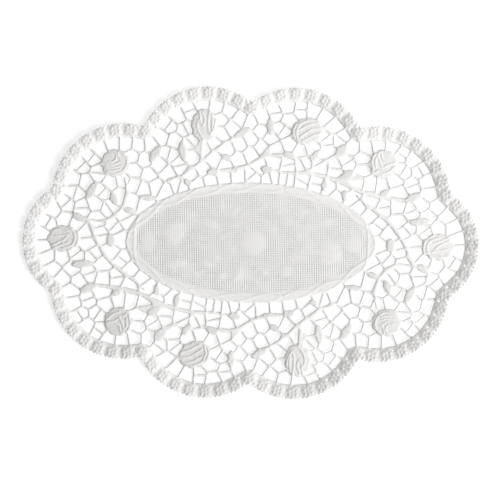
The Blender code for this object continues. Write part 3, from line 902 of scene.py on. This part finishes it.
class Bench:
    """A material and its nodes."""

    def __init__(self, name):
        self.material = bpy.data.materials.new(name)
        self.material.use_nodes = True
        self.tree = self.material.node_tree
        self.shader = self.tree.nodes["Principled BSDF"]

    def node(self, kind, settings, sockets, output=0):
        """Adds a node: its settings first, then its sockets' values or links. Gives one output."""
        node = self.tree.nodes.new(kind)
        for name, value in settings.items():
            setattr(node, name, value)
        self.plug(node, sockets)
        return Wire(self, node.outputs[output])

    def plug(self, node, sockets):
        """Sets a node's sockets to values, or links wires to them."""
        for name, value in sockets.items():
            if isinstance(value, Wire):
                self.tree.links.new(value.socket, node.inputs[name])
            else:
                node.inputs[name].default_value = value

    def place(self):
        """The surface point in its object's coordinates."""
        return self.node("ShaderNodeTexCoord", {}, {}, "Object")

    def axes(self):
        """The surface point's x and y in its object's coordinates, in millimetres."""
        place = self.place()
        parts = [self.node("ShaderNodeSeparateXYZ", {}, {0: place}, axis) for axis in ("X", "Y")]
        return [part * (1 / MM) for part in parts]

    def stored(self, name):
        """What the mesh stores for its points under a name."""
        return self.node("ShaderNodeAttribute", {"attribute_name": name}, {}, "Fac")

    def mixed(self, share, first, second):
        """A colour between two."""
        return self.node("ShaderNodeMix", {"data_type": "RGBA"}, {0: share, 6: first, 7: second}, 2)

    def noise(self, size, detail=2.0):
        """Soft noise whose lumps are about a size in millimetres."""
        return self.node("ShaderNodeTexNoise", {},
                         {"Vector": self.place(), "Scale": 1 / (size * MM), "Detail": detail})

    def patches(self, kind):
        """Soft patches of noise, 0 to 1."""
        return self.noise(kind.size).between(kind.low, kind.high)


PAPER_COLOUR = (0.83, 0.823, 0.808, 1.0)
PAPER_SHADE = (0.795, 0.788, 0.773, 1.0)
# Painted shade: the oval's smooth paper, its border and the pressed prints, is painted greyer than the
# linen.
SMOOTH_PAINTED_SHADE = (0.785, 0.778, 0.763, 1.0)
# Painted shade: roses, leaves and florets are painted darker than the flat paper.
EMBOSSED_PAINTED_SHADE = (0.74, 0.733, 0.718, 1.0)
# Painted shade: a darker line along every hole's cut edge, on both sides of each bar.
CUT_EDGE_PAINTED_SHADE = (0.71, 0.703, 0.688, 1.0)
EMBOSSED_DARKENING_SHARE = 0.8  # how much of the painted shade the embossed parts take on
CUT_EDGE_SHADE_WIDTH = 0.45  # how far in from a hole's cut edge the painted shade line reaches, in millimetres
PAPER_ROUGHNESS = 0.85
WHITE = (1.0, 1.0, 1.0, 1.0)
FLOOR_COLOUR = (0.5, 0.5, 0.5, 1.0)
FLOOR_GLOW = 0.57
FLOOR_ROUGHNESS = 0.9
FLOOR_REACH = 20.0  # metres from its middle

# Where the linen and the oval end: from and to, as squares of the distance over the field's reach
LINEN_END = 0.97, 1.0
OVAL_END = 1.15, 1.2

# Patches are lumps of noise of about a size in millimetres, 0 below low and 1 above high
Patches = namedtuple("Patches", "size low high")
TINT_PATCHES = Patches(14.0, 0.3, 0.7)
WARP_PATCHES = Patches(9.0, 0.15, 0.55)
WEFT_PATCHES = Patches(16.0, 0.2, 0.55)

# The sizes of the linen, grain and crumple, and the heights of their bumps, in millimetres
LINEN_PITCH = 1.2
LINEN_HEIGHT = 0.11
WEFT_SHARE = 1.2  # the weft's height over the warp's
PRESSED_SHARE = 0.5  # how much of the linen's height the prints press flat
GRAIN_SIZE = 0.9
GRAIN_DETAIL = 4.0
GRAIN_HEIGHT = 0.08
EMBOSSED_GRAIN = 0.16  # added where the paper is embossed
CRUMPLE_SIZE = 3.2
CRUMPLE_HEIGHT = 0.17
EMBOSSED_CRUMPLE = 0.25  # added where the paper is embossed


def paper_bump(bench, axes, woven, motif):
    """The linen where it shows, with the paper's grain and crumple, as a bump."""
    warp, weft = [(axis * (TURN / LINEN_PITCH)).cosine() * bench.patches(kind)
                  for axis, kind in zip(axes, (WARP_PATCHES, WEFT_PATCHES))]
    linen = (warp + weft * WEFT_SHARE) * woven
    grain = bench.noise(GRAIN_SIZE, GRAIN_DETAIL) * (GRAIN_HEIGHT + motif * EMBOSSED_GRAIN)
    crumple = bench.noise(CRUMPLE_SIZE) * (CRUMPLE_HEIGHT + motif * EMBOSSED_CRUMPLE)
    height = linen * LINEN_HEIGHT + grain + crumple
    return bench.node("ShaderNodeBump", {}, {"Height": height, "Distance": MM, "Strength": 1.0})


def paper_colour(bench, smooth, motif):
    """Faintly patchy white, with painted shade: greyer where the paper is smooth or embossed, and darker
    along the holes' cut edges.
    """
    colour = bench.mixed(bench.patches(TINT_PATCHES), PAPER_SHADE, PAPER_COLOUR)
    # painted shade on the smooth paper of the oval
    colour = bench.mixed(smooth, colour, SMOOTH_PAINTED_SHADE)
    # painted shade on the roses, leaves and florets
    colour = bench.mixed(motif * EMBOSSED_DARKENING_SHARE, colour, EMBOSSED_PAINTED_SHADE)
    # painted shade along the holes' cut edges
    inside = bench.stored("from_cut").between(0.0, CUT_EDGE_SHADE_WIDTH)
    return bench.mixed(inside, CUT_EDGE_PAINTED_SHADE, colour)


def embossed_paper():
    """Matt white paper, with a linen texture in the oval where it isn't pressed flat."""
    bench = Bench("embossed paper")
    x, y = bench.axes()
    half_length, half_width = OVAL_LENGTH / 2 - BORDER_WIDTH, OVAL_WIDTH / 2 - BORDER_WIDTH
    from_middle = (x / half_length) ** 2.0 + (y / half_width) ** 2.0
    in_field = 1 - from_middle.between(*LINEN_END)
    in_oval = 1 - from_middle.between(*OVAL_END)
    woven = in_field * (1 - bench.stored("pressed") * PRESSED_SHARE)
    motif = bench.stored("embossed")
    bench.plug(bench.shader, {"Base Color": paper_colour(bench, (1 - woven) * in_oval, motif),
                              "Roughness": PAPER_ROUGHNESS,
                              "Normal": paper_bump(bench, (x, y), woven, motif)})
    return bench.material


def floor_white():
    """Plain white studio floor."""
    bench = Bench("studio floor")
    bench.plug(bench.shader, {"Base Color": FLOOR_COLOUR, "Roughness": FLOOR_ROUGHNESS,
                              "Emission Color": WHITE, "Emission Strength": FLOOR_GLOW})
    return bench.material


# ---- pieces ---------------------------------------------------------------------------------


def piece(name, data, material):
    """An object at the origin with one material."""
    data.materials.clear()
    data.materials.append(material)
    made = bpy.data.objects.new(name, data)
    bpy.context.scene.collection.objects.link(made)
    return made


def make_doily():
    """The paper sheet, with its thickness grown down from the relief."""
    paper = piece("doily_paper", doily_mesh(), embossed_paper())
    wall = paper.modifiers.new("thickness", "SOLIDIFY")
    wall.thickness = THICKNESS * MM
    wall.offset = -1.0
    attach(paper, "root")
    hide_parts("doily")


def make_floor():
    """A wide plane under the doily."""
    sheet = bmesh.new()
    bmesh.ops.create_grid(sheet, x_segments=1, y_segments=1, size=FLOOR_REACH)
    data = bpy.data.meshes.new("floor")
    sheet.to_mesh(data)
    sheet.free()
    floor = piece("floor", data, floor_white())


# ---- camera and light -----------------------------------------------------------------------

PHOTO_SIDE = 500  # in pixels
PIXEL = 0.6694  # in millimetres on the floor
AIM = complex(-0.58, -4.77)
ROLL = 0.76  # in degrees
FOCAL_LENGTH = 100.0
SENSOR_WIDTH = 36.0


def aimed(thing, place, target):
    """Places a thing and turns its -Z axis to a target."""
    direction = Vector(target) - Vector(place)
    turn = direction.to_track_quat("-Z", "Y").to_matrix().to_4x4()
    thing.matrix_world = Matrix.Translation(place) @ turn


def make_camera():
    """A long lens that looks straight down."""
    data = bpy.data.cameras.new("camera")
    data.lens = FOCAL_LENGTH
    data.sensor_width = SENSOR_WIDTH
    camera = bpy.data.objects.new("camera", data)
    bpy.context.scene.collection.objects.link(camera)
    height = PHOTO_SIDE * PIXEL * FOCAL_LENGTH / SENSOR_WIDTH
    camera.matrix_world = (Matrix.Translation((AIM.real * MM, AIM.imag * MM, height * MM))
                           @ Matrix.Rotation(math.radians(ROLL), 4, "Z"))
    bpy.context.scene.camera = camera


def make_light(name, azimuth, elevation, distance, side, power):
    """A square soft light, at an azimuth from +X and an elevation, aimed at the doily."""
    data = bpy.data.lights.new(name, "AREA")
    data.size = side
    data.energy = power
    light = bpy.data.objects.new(name, data)
    bpy.context.scene.collection.objects.link(light)
    level = distance * math.cos(math.radians(elevation))
    place = (level * math.cos(math.radians(azimuth)), level * math.sin(math.radians(azimuth)),
             distance * math.sin(math.radians(elevation)))
    aimed(light, place, (0, 0, 0))


def make_world(strength):
    """Even white light from all round."""
    world = bpy.data.worlds.new("studio")
    world.use_nodes = True
    background = world.node_tree.nodes["Background"]
    background.inputs["Color"].default_value = WHITE
    background.inputs["Strength"].default_value = strength
    bpy.context.scene.world = world


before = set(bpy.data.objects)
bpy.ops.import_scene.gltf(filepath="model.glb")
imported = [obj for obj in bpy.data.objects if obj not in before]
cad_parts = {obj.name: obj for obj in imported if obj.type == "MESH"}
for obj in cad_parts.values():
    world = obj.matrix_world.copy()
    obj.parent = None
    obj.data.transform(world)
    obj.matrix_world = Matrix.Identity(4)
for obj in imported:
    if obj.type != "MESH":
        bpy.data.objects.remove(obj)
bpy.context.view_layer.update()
make_floor()
make_doily()
make_camera()
make_light("key", azimuth=-28, elevation=30, distance=3.6, side=1.6, power=128)
make_light("fill", azimuth=50, elevation=55, distance=0.6, side=0.5, power=1.35)
make_world(strength=0.31)
bpy.context.scene.view_settings.view_transform = "Standard"
